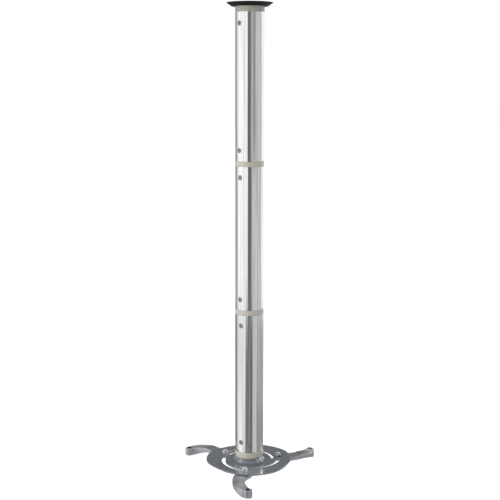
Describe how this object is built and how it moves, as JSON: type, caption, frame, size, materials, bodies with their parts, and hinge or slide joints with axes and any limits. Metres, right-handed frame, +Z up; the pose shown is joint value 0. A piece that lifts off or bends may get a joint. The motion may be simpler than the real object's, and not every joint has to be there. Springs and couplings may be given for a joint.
{
  "type": "projector ceiling mount",
  "caption": "Ceiling mount for a projector: a column of tubes from a ceiling plate, with a tilting domed plate below and curved arms that slide and swing to reach a projector's screw holes.",
  "frame": {"origin": "centre of the ceiling plate's top face, where it meets the ceiling", "axes": "+Z up, out of the ceiling plate's face and along the column; -Y is the front, towards the viewer of the picture; +X to the viewer's right"},
  "size_m": [0.2883, 0.267, 0.986],
  "materials": {
    "tube_aluminium": "extruded, fine lengthwise lines, satin",
    "collar_beige": "die-cast alloy with satin beige paint",
    "cover_black": "matt moulded plastic",
    "liner_nylon": "natural moulded nylon, slightly translucent",
    "plate_grey": "semi-gloss powder coat on pressed steel",
    "arm_cast": "cast, tumbled, lightly mottled",
    "zinc": "bright zinc plate"
  },
  "bodies": {
    "column": {"ceiling_plate": "zinc", "flange_screws": "zinc", "top_connector": "collar_beige", "upper_joint_connector": "collar_beige", "lower_joint_connector": "collar_beige", "bottom_connector": "collar_beige", "upper_tube": "tube_aluminium", "middle_tube": "tube_aluminium", "lower_tube": "tube_aluminium", "upper_tube_screws": "zinc", "middle_tube_screws": "zinc", "lower_tube_screws": "zinc"},
    "cover": {"ceiling_cover": "cover_black"},
    "clamp": {"clamp_bolt": "zinc", "clamp_nut": "zinc", "clamp_washers": "zinc", "ball_washer": "zinc"},
    "liner": {"dome_liner": "liner_nylon"},
    "plate": {"base_plate": "plate_grey"},
    "carrier_1": {"arm_bolt_1": "zinc", "arm_nut_1": "zinc", "arm_washers_1": "zinc"},
    "arm_1": {"arm_1": "arm_cast"},
    "carrier_2": {"arm_bolt_2": "zinc", "arm_nut_2": "zinc", "arm_washers_2": "zinc"},
    "arm_2": {"arm_2": "arm_cast"},
    "carrier_3": {"arm_bolt_3": "zinc", "arm_nut_3": "zinc", "arm_washers_3": "zinc"},
    "arm_3": {"arm_3": "arm_cast"}
  },
  "joints": [
    {"name": "cover_slide", "type": "slide", "parent": "column", "child": "cover", "axis": [0, 0, -1], "range_m": [0, 0.9]},
    {"name": "tilt_heading", "type": "hinge", "parent": "column", "child": "clamp", "pos_m": [0, 0, -0.983], "axis": [0, 0, 1], "continuous": true},
    {"name": "plate_tilt", "type": "hinge", "parent": "clamp", "child": "liner", "pos_m": [0, 0, -0.983], "axis": [1, 0, 0], "range_deg": [-15, 15]},
    {"name": "plate_spin", "type": "hinge", "parent": "liner", "child": "plate", "pos_m": [0, 0, -0.983], "axis": [0, 0, 1], "continuous": true},
    {"name": "arm_1_slot", "type": "hinge", "parent": "plate", "child": "carrier_1", "pos_m": [0.0058, -0.00772, -0.967], "axis": [0, 0, 1], "range_deg": [-70, 0]},
    {"name": "arm_1_swing", "type": "hinge", "parent": "carrier_1", "child": "arm_1", "pos_m": [-0.00954, -0.06662, -0.967], "axis": [0, 0, 1], "range_deg": [-22, 45]},
    {"name": "arm_2_slot", "type": "hinge", "parent": "plate", "child": "carrier_2", "pos_m": [0.00379, 0.00888, -0.967], "axis": [0, 0, 1], "range_deg": [-70, 0]},
    {"name": "arm_2_swing", "type": "hinge", "parent": "carrier_2", "child": "arm_2", "pos_m": [0.06247, 0.02505, -0.967], "axis": [0, 0, 1], "range_deg": [-22, 45]},
    {"name": "arm_3_slot", "type": "hinge", "parent": "plate", "child": "carrier_3", "pos_m": [-0.00959, -0.00116, -0.967], "axis": [0, 0, 1], "range_deg": [-70, 0]},
    {"name": "arm_3_swing", "type": "hinge", "parent": "carrier_3", "child": "arm_3", "pos_m": [-0.05293, 0.04158, -0.967], "axis": [0, 0, 1], "range_deg": [-22, 45]}
  ]
}
